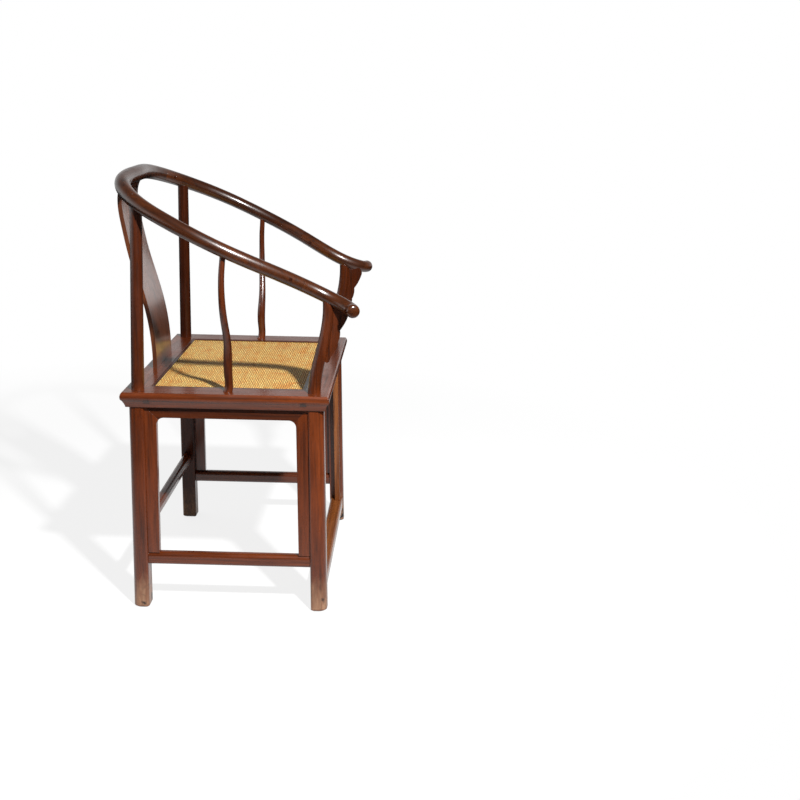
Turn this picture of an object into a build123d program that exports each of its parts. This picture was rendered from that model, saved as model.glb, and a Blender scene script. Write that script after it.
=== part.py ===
"""Horseshoe-back armchair of joined hardwood with a soft woven-mat seat.

Millimetres, +Z up.  The sitter faces -Y and the sitter's left is +X.  The chair is drawn about the middle of
its seat, then moved so that the origin is on the floor under the middle of everything, hands included.
Every stick is its own solid, held by tenons, housings, tongues and scarf pins.
"""
from build123d import *
import math
import os

os.makedirs("parts", exist_ok=True)

# ---------------------------------------------------------------- driving dimensions
SEAT_HEIGHT = 500.0          # floor to the top of the seat frame
SEAT_WIDTH = 560.0           # over the bulge of the frame moulding
SEAT_DEPTH = 446.0
FRAME_THICKNESS = 34.0
FRAME_MEMBER_WIDTH = 65.0    # outer edge to the inner edge of the ledge
MAT_LEDGE_WIDTH = 10.0       # ledge that carries the webbing and the mat

LEG_INSET = 29.5             # frame edge to the leg's centre, at the shoulder
LEG_TOP_SIZE = 34.0
LEG_FOOT_SIZE = 36.0
LEG_OUTER_RADIUS = 16.0      # the outward corner is round, the inward corner is square
LEG_SIDE_RADIUS = 6.0
LEG_INNER_RADIUS = 1.5
FOOT_CHAMFER = 3.0
FOOT_SPREAD_X = 14.5         # how far the foot stands outside the leg's top
FOOT_SPREAD_Y = 6.5

REAR_POST_BASE_DIAMETER = 28.0
REAR_POST_TOP_DIAMETER = 25.0
REAR_POST_RISE = 396.8       # seat top to the centre of the crest rail
REAR_POST_LEAN_X = 18.2      # inward lean from the shoulder to the rail
REAR_POST_LEAN_Y = 12.3
POST_INSET_X = 0.8           # post centre inside the leg centre, at the shoulder
POST_INSET_Y = 1.2

FRONT_POST_RISE = 208.2
FRONT_POST_LEAN_X = 11.5
FRONT_POST_REACH = 26.5      # forward reach of the goose-neck at the rail
FRONT_POST_INSET_Y = 2.8

SIDE_POST_INSET = 30.5       # frame's edge to the side post's foot
SIDE_POST_Y = -3.0
SIDE_POST_RISE = 311.0
SIDE_POST_LEAN_X = 38.5      # outward lean to the rail
SIDE_POST_LEAN_Y = -3.0
SIDE_POST_UNDERCUT = 5.3     # how far its head enters inside the rail's centre line

RAIL_BACK_DIAMETER = 34.5
RAIL_ARM_DIAMETER = 29.0
RAIL_BACK_OVERHANG = 12.0    # seat frame's back edge to the centre of the rail
RAIL_BACK_RISE = 433.4       # seat top to the centre of the rail at the back
HAND_SPREAD = -0.7           # frame edge out to the centre of the hand at its end
HAND_REACH = 49.6            # frame's front edge forward to the end of the hand
HAND_DROP = 21.4             # rail over the front post down to the end of the hand
HAND_CAP_LENGTH = 9.0
BACK_BOW = (3.0, 26.5, 12.6)     # rail's bow off the straight, back to rear post
SHOULDER_BOW = (21.6, 2.7, 2.0)  # rear post to side post
ARM_BOW = (-0.7, -2.6, 0.3)      # side post to front post
HAND_BOW = (-7.8, -8.8, -5.2)    # front post to hand

SCARF_LAP = 60.0             # length of the overlap in a rail joint
SCARF_COG_LENGTH = 5.0
SCARF_COG_WIDTH = 4.5
SCARF_POST_CLEARANCE = 12.0  # rear post's centre to the near end of the lap
ARM_SCARF_SETBACK = 113.0    # frame's front edge back to the front end of the arm's lap
PIN_HEAD = 7.0
PIN_TAIL = 6.0

SPLAT_BOTTOM_WIDTH = 150.0
SPLAT_TOP_WIDTH = 142.0
SPLAT_THICKNESS = 9.5
SPLAT_INSET = 28.2           # frame's back edge to the splat's centre
SPLAT_HOLE_DIAMETER = 38.0
SPLAT_HOLE_RISE = 297.0
SPLAT_HOUSING = 11.0         # how deep the splat stands in the seat rail and in the crest rail

APRON_DROP = 25.0            # seat frame's underside to the opening below it
STRIP_WIDTH = 25.5           # upright strip, from the leg's face to the opening
APRON_THICKNESS = 13.0
APRON_SETBACK = 6.0          # leg's outer face to the apron's face
APRON_CORNER_RADIUS = 16.0
TONGUE_DEPTH = 4.0
TONGUE_THICKNESS = 5.0
BACK_SPANDREL_LENGTH = 146.0
BACK_SPANDREL_RADIUS = 23.0

SIDE_STRETCHER_Z = 115.0
SIDE_STRETCHER_HEIGHT = 29.0
BACK_STRETCHER_Z = 171.0
BACK_STRETCHER_HEIGHT = 25.0
STRETCHER_WIDTH = 24.0
STRETCHER_ROUNDING = 9.0
FOOTREST_TOP_Z = 68.0
FOOTREST_HEIGHT = 27.0
FOOTREST_WIDTH = 32.0
FOOTREST_ROUNDING = 5.0
FOOTREST_APRON_DROP = 20.0
FOOTREST_APRON_THICKNESS = 10.0
FOOTREST_APRON_RELIEF = 3.5
FOOTREST_BRACKET_LENGTH = 36.0

MAT_RECESS = 2.5             # frame top down to the mat
MAT_THICKNESS = 2.5
STRAND_THICKNESS = 1.6
STRAND_WIDTH = 9.0
STRAND_PITCH = 27.0
EDGING_WIDTH = 6.5
EDGING_REVEAL = 0.7          # frame top down to the edging's top
BRACE_X = 78.0
BRACE_WIDTH = 28.0
BRACE_HEIGHT = 16.0
BRACE_BOW = 12.0

SPANDREL_THICKNESS = 8.0
SPANDREL_HEAD_DROP = 18.5    # centre of the rail over the front post, down to the top of the board
SPANDREL_HOUSING = 6.0       # how far the outline runs back into the post before it is cut to the post
# free edge in cusped arcs, as distances forward of the rail's point over the post and down from the top
SPANDREL_EDGE = [
    (37.0, 0.0), (43.5, 6.5), (45.8, 15.0),
    (36.5, 37.0), (26.5, 52.0),
    (26.0, 67.0), (21.0, 80.0),
    (20.0, 89.0), (14.0, 97.0),
    (8.5, 107.0), (4.5, 118.0),
    (0.5, 121.5), (-4.5, 120.0),
]

TENON_DEPTH = 12.0
RAIL_TENON_DIAMETER = 12.0
SIDE_POST_TENON_DIAMETER = 6.5
SIDE_POST_FOOT_TENON = 12.0
STRETCHER_TENON = (10.0, 15.0)   # thickness, height
STRETCHER_TENON_DEPTH = 20.0
FRAME_TENON = (13.0, 10.0)       # width, height of the through tenon at each frame corner
GLUE_GAP = 0.12              # every tenon, tongue and seam is cut this much clear

# ---------------------------------------------------------------- derived places
SHOULDER_Z = SEAT_HEIGHT - FRAME_THICKNESS
HALF_WIDTH = SEAT_WIDTH / 2
HALF_DEPTH = SEAT_DEPTH / 2
LEG_TOP_X = HALF_WIDTH - LEG_INSET
LEG_TOP_Y = HALF_DEPTH - LEG_INSET - 0.5
SIDE_POST_X = HALF_WIDTH - SIDE_POST_INSET
SPLAT_Y = HALF_DEPTH - SPLAT_INSET
RAIL_BACK_Y = HALF_DEPTH + RAIL_BACK_OVERHANG
OPENING_X = HALF_WIDTH - FRAME_MEMBER_WIDTH + MAT_LEDGE_WIDTH
OPENING_Y = HALF_DEPTH - FRAME_MEMBER_WIDTH + MAT_LEDGE_WIDTH
LEDGE_X = HALF_WIDTH - FRAME_MEMBER_WIDTH
LEDGE_Y = HALF_DEPTH - FRAME_MEMBER_WIDTH
MAT_TOP_Z = SEAT_HEIGHT - MAT_RECESS
MAT_BOTTOM_Z = MAT_TOP_Z - MAT_THICKNESS
WEB_BOTTOM_Z = MAT_BOTTOM_Z - 2 * STRAND_THICKNESS
FAR = 2000.0                 # a length well past the whole chair


def leg_x(z):
    """Distance of a leg's centre line from the chair's middle plane, at height z."""
    return LEG_TOP_X + FOOT_SPREAD_X * (SHOULDER_Z - z) / SHOULDER_Z


def leg_y(z):
    """Distance of a leg's centre line from the chair's cross plane, at height z."""
    return LEG_TOP_Y + FOOT_SPREAD_Y * (SHOULDER_Z - z) / SHOULDER_Z


def leg_half(z):
    """Half the width of a leg at height z."""
    return (LEG_TOP_SIZE + (LEG_FOOT_SIZE - LEG_TOP_SIZE) * (SHOULDER_Z - z) / SHOULDER_Z) / 2


def blend(start, end, share):
    """The point a share of the way from start to end."""
    return tuple(a + (b - a) * share for a, b in zip(start, end))


def bowed_middle(start, end, bow):
    """The point midway between two places, moved off the straight by bow."""
    return tuple(m + o for m, o in zip(blend(start, end, 0.5), bow))


def box_between(low, high):
    """A box from its lowest corner to its highest."""
    size = [b - a for a, b in zip(low, high)]
    return Pos(*blend(low, high, 0.5)) * Box(*size)


def both_sides(shape):
    """The shape and its mirror image on the other side of the chair."""
    return shape + mirror(shape, about=Plane.YZ)


def rod_between(start, end, diameter):
    """A straight round rod between two points."""
    direction = Vector(*end) - Vector(*start)
    foot = Plane(origin=start, z_dir=direction)
    return extrude(foot * Circle(diameter / 2), amount=direction.length)


def main_solid(shape):
    """The largest solid of a shape, without the offcuts that a trimming cut leaves."""
    return shape.solids().sort_by(SortBy.VOLUME)[-1]


# ---------------------------------------------------------------- crest rail
REAR_POST_TOP = (
    LEG_TOP_X - POST_INSET_X - REAR_POST_LEAN_X,
    LEG_TOP_Y - POST_INSET_Y - REAR_POST_LEAN_Y,
    SEAT_HEIGHT + REAR_POST_RISE,
)
SIDE_POST_TOP = (
    SIDE_POST_X + SIDE_POST_LEAN_X,
    SIDE_POST_Y + SIDE_POST_LEAN_Y,
    SEAT_HEIGHT + SIDE_POST_RISE,
)
FRONT_POST_TOP = (
    LEG_TOP_X - POST_INSET_X - FRONT_POST_LEAN_X,
    -(LEG_TOP_Y - FRONT_POST_INSET_Y) - FRONT_POST_REACH,
    SEAT_HEIGHT + FRONT_POST_RISE,
)
RAIL_OVER_SIDE_POST = (SIDE_POST_TOP[0] + SIDE_POST_UNDERCUT, SIDE_POST_TOP[1], SIDE_POST_TOP[2])
RAIL_BACK = (0.0, RAIL_BACK_Y, SEAT_HEIGHT + RAIL_BACK_RISE)
HAND_END = (HALF_WIDTH + HAND_SPREAD, -HALF_DEPTH - HAND_REACH, FRONT_POST_TOP[2] - HAND_DROP)
RAIL_HALF = [
    bowed_middle(RAIL_BACK, REAR_POST_TOP, BACK_BOW),
    REAR_POST_TOP,
    bowed_middle(REAR_POST_TOP, RAIL_OVER_SIDE_POST, SHOULDER_BOW),
    RAIL_OVER_SIDE_POST,
    bowed_middle(RAIL_OVER_SIDE_POST, FRONT_POST_TOP, ARM_BOW),
    FRONT_POST_TOP,
    bowed_middle(FRONT_POST_TOP, HAND_END, HAND_BOW),
    HAND_END,
]
RAIL_MIRRORED = [(-x, y, z) for x, y, z in reversed(RAIL_HALF)]
RAIL_PATH = Spline(*RAIL_MIRRORED, RAIL_BACK, *RAIL_HALF)
RAIL_SECTIONS = 24
THICK_SHARE = 0.62           # share of each half over which the rail thins from the back to the arm


def rail_diameter(place):
    """Rail diameter at a place along the path: thickest at the middle of the back."""
    off_middle = min(abs(2 * place - 1) / THICK_SHARE, 1.0)
    fade = (1 + math.cos(math.pi * off_middle)) / 2
    return RAIL_ARM_DIAMETER + (RAIL_BACK_DIAMETER - RAIL_ARM_DIAMETER) * fade


def rail_frame(place):
    """Plane across the rail: X points out of the horseshoe, Z runs along it."""
    along = RAIL_PATH.tangent_at(place)
    outward = along.cross(Vector(0, 0, 1)).normalized()
    return Plane(origin=RAIL_PATH.position_at(place), x_dir=outward, z_dir=along)


def make_rail_blank():
    """The whole horseshoe before it is cut into its five lengths."""
    sections = []
    for index in range(RAIL_SECTIONS + 1):
        place = index / RAIL_SECTIONS
        sections.append(rail_frame(place) * Circle(rail_diameter(place) / 2))
    blank = loft(sections)
    for place, direction in ((0.0, -1), (1.0, 1)):
        end = rail_frame(place)
        radius = rail_diameter(place) / 2
        meridian = Plane(origin=end.origin, x_dir=end.x_dir, z_dir=end.x_dir.cross(end.z_dir * direction))
        dome = Spline((radius, 0), (0, HAND_CAP_LENGTH), tangents=((0, 1), (-1, 0)))
        quarter = make_face([Line((0, 0), (radius, 0)), dome, Line((0, HAND_CAP_LENGTH), (0, 0))])
        blank += revolve(meridian * quarter, Axis(end.origin, end.z_dir), 360)
    return blank


def rail_place_where(test):
    """First place on the left half of the rail, from the back, where the test holds."""
    steps = 1200
    for index in range(steps // 2, steps + 1):
        place = index / steps
        if test(RAIL_PATH.position_at(place)):
            return place
    return 1.0


def scarf_frame(place):
    """Plane of a rail joint: X runs from the back towards the hand, Y points out of the horseshoe."""
    along = RAIL_PATH.tangent_at(place)
    level = along.cross(Vector(0, 0, 1)).normalized()
    up = level.cross(along).normalized()
    return Plane(origin=RAIL_PATH.position_at(place), x_dir=along, z_dir=up)


def scarf_seam(frame, outward):
    """Thin stepped wall that parts the rail: two shoulders, two cogs and the long lap between them."""
    half = SCARF_LAP / 2
    reach = RAIL_BACK_DIAMETER
    cog = half + SCARF_COG_LENGTH
    corners = [
        (-half, reach),
        (-half, SCARF_COG_WIDTH),
        (-cog, SCARF_COG_WIDTH),
        (-cog, 0),
        (cog, 0),
        (cog, -SCARF_COG_WIDTH),
        (half, -SCARF_COG_WIDTH),
        (half, -reach),
    ]
    seam = None
    for (x0, y0), (x1, y1) in zip(corners, corners[1:]):
        size_x = abs(x1 - x0) + GLUE_GAP
        size_y = abs(y1 - y0) + GLUE_GAP
        middle = ((x0 + x1) / 2, outward * (y0 + y1) / 2)
        wall = Pos(middle[0], middle[1], 0) * Box(size_x, size_y, 2 * reach)
        seam = wall if seam is None else seam + wall
    return frame * seam


def scarf_pin(frame, clearance):
    """Square tapered pin driven through the middle of the lap, across the rail."""
    reach = RAIL_BACK_DIAMETER
    head = PIN_HEAD + 2 * clearance
    tail = PIN_TAIL + 2 * clearance
    across = Plane(origin=frame.origin, x_dir=frame.x_dir, z_dir=frame.y_dir)
    ends = [across.offset(-reach) * Rectangle(head, head), across.offset(reach) * Rectangle(tail, tail)]
    return loft(ends, ruled=True)


# ---------------------------------------------------------------- posts and legs
REAR_POST_FOOT = (LEG_TOP_X - POST_INSET_X, LEG_TOP_Y - POST_INSET_Y, SHOULDER_Z)
FRONT_POST_FOOT = (LEG_TOP_X - POST_INSET_X, -(LEG_TOP_Y - FRONT_POST_INSET_Y), SHOULDER_Z)
SIDE_POST_FOOT = (SIDE_POST_X, SIDE_POST_Y, SEAT_HEIGHT)

# share of the rise, bow off the straight (sideways, fore-and-aft), diameter
GOOSENECK_STATIONS = [
    (0.00, 0.0, 0.0, 28.0),
    (0.14, 0.0, 4.8, 28.0),
    (0.29, 0.0, 5.6, 26.6),
    (0.46, 0.0, 1.4, 25.8),
    (0.62, 0.0, -3.8, 24.8),
    (0.78, 0.0, -6.2, 24.0),
    (0.90, 0.0, -4.6, 23.2),
    (1.00, 0.0, 0.0, 22.5),
]
SIDE_POST_STATIONS = [
    (0.00, 0.0, 0.0, 21.5),
    (0.16, -6.7, -1.5, 19.0),
    (0.32, -5.4, -2.8, 17.2),
    (0.45, 5.1, -1.7, 15.4),
    (0.61, 15.9, 1.0, 14.3),
    (0.72, 16.1, 1.7, 13.2),
    (0.82, 11.3, 1.5, 12.6),
    (0.93, 3.0, -0.6, 12.0),
    (1.00, 0.0, 0.0, 11.5),
]


def turned_post(foot, top, stations, growth=0.0):
    """A round post whose centre line and thickness follow the stations."""
    centres = []
    for share, sideways, fore_aft, _ in stations:
        x, y, z = blend(foot, top, share)
        centres.append((x + sideways, y + fore_aft, z))
    path = Spline(*centres)
    sections = []
    for centre, (_, _, _, diameter) in zip(centres, stations):
        place = path.param_at_point(centre)
        plane = Plane(origin=centre, x_dir=(1, 0, 0), z_dir=path.tangent_at(place))
        if centre == centres[0]:
            plane = Plane(origin=centre, x_dir=(1, 0, 0), z_dir=(0, 0, 1))
        sections.append(plane * Circle(diameter / 2 + growth))
    return loft(sections)


def rear_post(growth=0.0):
    """The straight tapered upper part of a rear leg, up to the rail's centre."""
    direction = Vector(*REAR_POST_TOP) - Vector(*REAR_POST_FOOT)
    foot = Plane(origin=REAR_POST_FOOT, x_dir=(1, 0, 0), z_dir=(0, 0, 1))
    top = Plane(origin=REAR_POST_TOP, x_dir=(1, 0, 0), z_dir=direction)
    ends = [
        foot * Circle(REAR_POST_BASE_DIAMETER / 2 + growth),
        top * Circle(REAR_POST_TOP_DIAMETER / 2 + growth),
    ]
    return loft(ends, ruled=True)


def front_post(growth=0.0):
    """The goose-necked upper part of a front leg, up to the rail's centre."""
    return turned_post(FRONT_POST_FOOT, FRONT_POST_TOP, GOOSENECK_STATIONS, growth)


def leg_section(size, end):
    """A leg's section: round on the outward corner, square on the inward one."""
    section = Rectangle(size, size)
    half = size / 2
    corners = [
        ((half, end * half), LEG_OUTER_RADIUS),
        ((half, -end * half), LEG_SIDE_RADIUS),
        ((-half, end * half), LEG_SIDE_RADIUS),
        ((-half, -end * half), LEG_INNER_RADIUS),
    ]
    for (x, y), radius in corners:
        corner = section.vertices().sort_by_distance((x, y, 0))[0]
        section = fillet(corner, radius)
    return section


def lower_leg(end):
    """Left leg below the seat frame: end is +1 at the rear and -1 at the front."""
    stations = [
        (0.0, 2 * leg_half(0.0) - 2 * FOOT_CHAMFER),
        (FOOT_CHAMFER, 2 * leg_half(FOOT_CHAMFER)),
        (SHOULDER_Z, LEG_TOP_SIZE),
    ]
    sections = [Pos(leg_x(z), end * leg_y(z), z) * leg_section(size, end) for z, size in stations]
    return loft(sections[:2], ruled=True) + loft(sections[1:], ruled=True)


def post_tenon(top, direction, diameter, length_below, growth=0.0):
    """Round tenon at a post's top, from inside the post to TENON_DEPTH short of the rail's far skin."""
    along = Vector(*direction).normalized()
    start = Vector(*top) - along * length_below
    finish = Vector(*top) + along * (growth + 2.0)
    return rod_between(tuple(start), tuple(finish), diameter + 2 * growth)


# ---------------------------------------------------------------- splat
def splat_profile_points():
    """Centre line of the splat's S, seen from the side, from its foot to its head."""
    rise = RAIL_BACK_RISE - RAIL_BACK_DIAMETER / 2 + SPLAT_HOUSING
    stations = [
        (-SPLAT_HOUSING, SPLAT_Y),
        (0.085 * rise, SPLAT_Y - 0.3),
        (0.235 * rise, SPLAT_Y + 5.3),
        (0.405 * rise, SPLAT_Y + 20.4),
        (0.575 * rise, SPLAT_Y + 40.2),
        (0.765 * rise, SPLAT_Y + 56.2),
        (0.895 * rise, RAIL_BACK_Y + 21.4),
        (0.955 * rise, RAIL_BACK_Y + 16.2),
        (rise, RAIL_BACK_Y),
    ]
    return [(y, SEAT_HEIGHT + up) for up, y in stations]


def make_splat(growth=0.0):
    """The plain S-curved back splat, narrower at its head, with a round hole."""
    centre = Spline(*splat_profile_points())
    half = SPLAT_THICKNESS / 2 + growth
    steps = 16
    front, rear = [], []
    for index in range(steps + 1):
        place = index / steps
        point = centre.position_at(place)
        along = centre.tangent_at(place)
        normal = Vector(along.Y, -along.X, 0)
        front.append(point + normal * -half)
        rear.append(point + normal * half)
    outline = make_face([
        Spline(*front), Line(front[-1], rear[-1]), Spline(*reversed(rear)), Line(rear[0], front[0]),
    ])
    blank = extrude(Plane.YZ * outline, amount=SPLAT_BOTTOM_WIDTH / 2 + growth, both=True)
    low = SEAT_HEIGHT - 2 * SPLAT_HOUSING
    high = SEAT_HEIGHT + RAIL_BACK_RISE + RAIL_BACK_DIAMETER
    bottom = SPLAT_BOTTOM_WIDTH / 2 + growth
    top = SPLAT_TOP_WIDTH / 2 + growth
    taper = make_face(Polyline((-bottom, low), (bottom, low), (top, high), (-top, high), close=True))
    board = blank & extrude(Plane.XZ * taper, amount=FAR, both=True)
    if growth == 0.0:
        hole = Pos(0, 0, SEAT_HEIGHT + SPLAT_HOLE_RISE) * Rot(90, 0, 0)
        board -= hole * Cylinder(SPLAT_HOLE_DIAMETER / 2, FAR)
    return board


# ---------------------------------------------------------------- seat frame
def frame_profile():
    """Section of a frame member: X is the distance in from the outer edge, Y is the height."""
    step_z = SEAT_HEIGHT - 0.5 * FRAME_THICKNESS
    top = SEAT_HEIGHT
    return make_face([
        Line((FRAME_MEMBER_WIDTH, SHOULDER_Z), (9.5, SHOULDER_Z)),
        ThreePointArc((9.5, SHOULDER_Z), (7.2, SHOULDER_Z + 7.5), (2.6, step_z - 0.6)),
        Line((2.6, step_z - 0.6), (1.6, step_z)),
        ThreePointArc((1.6, step_z), (0.0, step_z + 8.0), (4.0, top)),
        Line((4.0, top), (FRAME_MEMBER_WIDTH - MAT_LEDGE_WIDTH, top)),
        Line((FRAME_MEMBER_WIDTH - MAT_LEDGE_WIDTH, top), (FRAME_MEMBER_WIDTH - MAT_LEDGE_WIDTH, WEB_BOTTOM_Z)),
        Line((FRAME_MEMBER_WIDTH - MAT_LEDGE_WIDTH, WEB_BOTTOM_Z), (FRAME_MEMBER_WIDTH, WEB_BOTTOM_Z)),
        Line((FRAME_MEMBER_WIDTH, WEB_BOTTOM_Z), (FRAME_MEMBER_WIDTH, SHOULDER_Z)),
    ])


def mitred_member(half_length, half_across, towards):
    """A frame member along X, mitred at 45 degrees; towards is +1 for the +Y side."""
    side = Plane(origin=(0, towards * half_across, 0), x_dir=(0, -towards, 0), z_dir=(-towards, 0, 0))
    bar = extrude(side * frame_profile(), amount=half_length, both=True)
    inner_length = half_length - FRAME_MEMBER_WIDTH
    inner_across = half_across - FRAME_MEMBER_WIDTH
    plan = make_face(Polyline(
        (-half_length, towards * half_across),
        (half_length, towards * half_across),
        (inner_length, towards * inner_across),
        (-inner_length, towards * inner_across),
        close=True,
    ))
    return bar & extrude(plan, amount=FAR)


def frame_tenon(end, blank, growth=0.0):
    """Through tenon of the front or back member, ending flush in the side member's moulding."""
    width, height = FRAME_TENON
    inner_y = LEDGE_Y + 3.0 - growth
    outer_y = inner_y + width + 2 * growth
    middle_z = SHOULDER_Z + 0.42 * FRAME_THICKNESS
    low_z = middle_z - height / 2 - growth
    high_z = middle_z + height / 2 + growth
    low_y, high_y = sorted((end * inner_y, end * outer_y))
    tenon = box_between((LEDGE_X - 2.0, low_y, low_z), (HALF_WIDTH + 5.0, high_y, high_z))
    return tenon & blank if blank is not None else tenon


# ---------------------------------------------------------------- aprons and strips
def bay_sketch(top_half, foot_half, top_z, foot_z, lean, reach):
    """Outline of the board frame in one bay, as (across, up the lean), with its opening cut out."""
    up = math.sqrt(1 + lean * lean)
    outer = make_face(Polyline(
        (-top_half - reach, (top_z + reach) * up),
        (top_half + reach, (top_z + reach) * up),
        (foot_half + reach, foot_z * up),
        (-foot_half - reach, foot_z * up),
        close=True,
    ))
    top_in = top_half - STRIP_WIDTH
    foot_in = foot_half - STRIP_WIDTH
    opening = make_face(Polyline(
        (-top_in, (top_z - APRON_DROP) * up),
        (top_in, (top_z - APRON_DROP) * up),
        (foot_in, (foot_z - 1) * up),
        (-foot_in, (foot_z - 1) * up),
        close=True,
    ))
    opening = fillet(opening.vertices().group_by(Axis.Y)[-1], APRON_CORNER_RADIUS)
    return outer - opening


def bay_boards(place, top_half, foot_half, foot_z, lean, growth=None):
    """The board frame of one bay, or, with a growth, the groove that takes its tongue."""
    axis = place.x_dir.cross(Vector(0, 0, 1))
    solids = None
    layers = [(APRON_THICKNESS, 0.0), (TONGUE_THICKNESS, TONGUE_DEPTH)]
    if growth is not None:
        layers = [(TONGUE_THICKNESS + 2 * growth, TONGUE_DEPTH + growth)]
    for thickness, reach in layers:
        sketch = bay_sketch(top_half, foot_half, SHOULDER_Z, foot_z, lean, reach)
        layer = extrude(place * sketch, amount=thickness / 2, dir=axis)
        layer += extrude(place * sketch, amount=thickness / 2, dir=-axis)
        solids = layer if solids is None else solids + layer
    return solids


def split_bay(boards, place, top_half, lean):
    """Parts a bay's board frame at its two mitres into the apron and its two uprights."""
    up = SHOULDER_Z * math.sqrt(1 + lean * lean)
    high = TONGUE_DEPTH + 20.0
    deep = STRIP_WIDTH + APRON_CORNER_RADIUS
    cut = make_face(Polyline(
        (top_half + high, up + high),
        (top_half - deep, up - deep),
        (top_half - deep, -FAR),
        (top_half + high, -FAR),
        close=True,
    ))
    right = extrude(place * cut, amount=60.0, both=True)
    left = extrude(place * mirror(cut, about=Plane.YZ), amount=60.0, both=True)
    return boards - right - left, boards & left, boards & right


# ---------------------------------------------------------------- stretchers
def fitted_between(bar, legs):
    """The part of a bar between two legs, its ends shaped to the legs' faces."""
    return main_solid(bar - legs)


def rounded_bar_x(half_length, y, z, width, height, rounding):
    """A bar along X with rounded edges."""
    section = Plane(origin=(-half_length, y, z), x_dir=(0, 1, 0), z_dir=(1, 0, 0))
    return extrude(section * RectangleRounded(width, height, rounding), amount=2 * half_length)


def rounded_bar_y(half_length, x, z, width, height, rounding):
    """A bar along Y with rounded edges."""
    section = Plane(origin=(x, half_length, z), x_dir=(1, 0, 0), z_dir=(0, -1, 0))
    return extrude(section * RectangleRounded(width, height, rounding), amount=2 * half_length)


def tenon_x(y, z, growth=0.0):
    """Both tenons of a stretcher along X, as one bar."""
    thickness, height = STRETCHER_TENON
    half = leg_x(z) - leg_half(z) + STRETCHER_TENON_DEPTH + growth
    return Pos(0, y, z) * Box(2 * half, thickness + 2 * growth, height + 2 * growth)


def tenon_y(x, z, growth=0.0):
    """Both tenons of a stretcher along Y, as one bar."""
    thickness, height = STRETCHER_TENON
    half = leg_y(z) - leg_half(z) + STRETCHER_TENON_DEPTH + growth
    return Pos(x, 0, z) * Box(thickness + 2 * growth, 2 * half, height + 2 * growth)


# ---------------------------------------------------------------- build: crest rail
rail_blank = make_rail_blank()

rear_scarf_near = rail_place_where(
    lambda p: math.dist((p.X, p.Y, p.Z), REAR_POST_TOP) < SCARF_POST_CLEARANCE + SCARF_LAP / 2
)
arm_scarf_near = rail_place_where(lambda p: p.Y < ARM_SCARF_SETBACK - HALF_DEPTH - SCARF_LAP / 2 * 0.92)
scarf_frames = [scarf_frame(rear_scarf_near), scarf_frame(arm_scarf_near)]

rail_lengths = rail_blank
for frame in scarf_frames:
    outward = 1 if frame.y_dir.dot(rail_frame(rear_scarf_near).x_dir) > 0 else -1
    rail_lengths -= both_sides(scarf_seam(frame, outward))
pins_left = None
for frame in scarf_frames:
    rail_lengths -= both_sides(scarf_pin(frame, GLUE_GAP))
    pin = scarf_pin(frame, 0.0) & rail_blank
    pins_left = pin if pins_left is None else pins_left + pin
rail_pieces = rail_lengths.solids().sort_by(Axis.Y)
rail_centre = rail_pieces[-1]
rail_shoulder = [piece for piece in rail_pieces[-3:-1] if piece.center().X > 0][0]
rail_hand = [piece for piece in rail_pieces[:2] if piece.center().X > 0][0]

# ---------------------------------------------------------------- build: legs with their posts
rear_direction = Vector(*REAR_POST_TOP) - Vector(*REAR_POST_FOOT)
rear_leg = lower_leg(1) + main_solid(rear_post() - rail_blank)
rear_leg += post_tenon(REAR_POST_TOP, rear_direction, RAIL_TENON_DIAMETER, 40.0)
rail_shoulder -= post_tenon(REAR_POST_TOP, rear_direction, RAIL_TENON_DIAMETER, 40.0, GLUE_GAP)

front_direction = (-0.2, 0.15, 1.0)
front_leg = lower_leg(-1) + main_solid(front_post() - rail_blank)
front_leg += post_tenon(FRONT_POST_TOP, front_direction, RAIL_TENON_DIAMETER, 24.0)
rail_hand -= post_tenon(FRONT_POST_TOP, front_direction, RAIL_TENON_DIAMETER, 24.0, GLUE_GAP)

side_post = main_solid(turned_post(SIDE_POST_FOOT, SIDE_POST_TOP, SIDE_POST_STATIONS) - rail_blank)
side_direction = (-0.15, 0.0, 1.0)
side_post += post_tenon(SIDE_POST_TOP, side_direction, SIDE_POST_TENON_DIAMETER, 24.0)
rail_shoulder -= post_tenon(SIDE_POST_TOP, side_direction, SIDE_POST_TENON_DIAMETER, 24.0, GLUE_GAP)
side_foot_low = (SIDE_POST_X, SIDE_POST_Y, SEAT_HEIGHT - TENON_DEPTH)
side_foot_high = (SIDE_POST_X, SIDE_POST_Y, SEAT_HEIGHT + 2.0)
side_post += rod_between(side_foot_low, side_foot_high, SIDE_POST_FOOT_TENON)

splat = make_splat()
rail_centre -= make_splat(GLUE_GAP)

# ---------------------------------------------------------------- build: seat frame
side_member = Rot(0, 0, -90) * mitred_member(HALF_DEPTH, HALF_WIDTH, 1)
side_outline = side_member
post_holes = both_sides(rear_post(GLUE_GAP) + front_post(GLUE_GAP))
side_mortise_low = (SIDE_POST_X, SIDE_POST_Y, SEAT_HEIGHT - TENON_DEPTH - GLUE_GAP)
side_member -= rod_between(side_mortise_low, side_foot_high, SIDE_POST_FOOT_TENON + 2 * GLUE_GAP)
frame_members = {}
for name, end in (("back", 1), ("front", -1)):
    member = mitred_member(HALF_WIDTH, HALF_DEPTH, end)
    member += both_sides(frame_tenon(end, side_outline))
    side_member -= frame_tenon(end, None, GLUE_GAP)
    frame_members[name] = member - post_holes
side_member -= post_holes
frame_members["back"] -= make_splat(GLUE_GAP)

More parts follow.
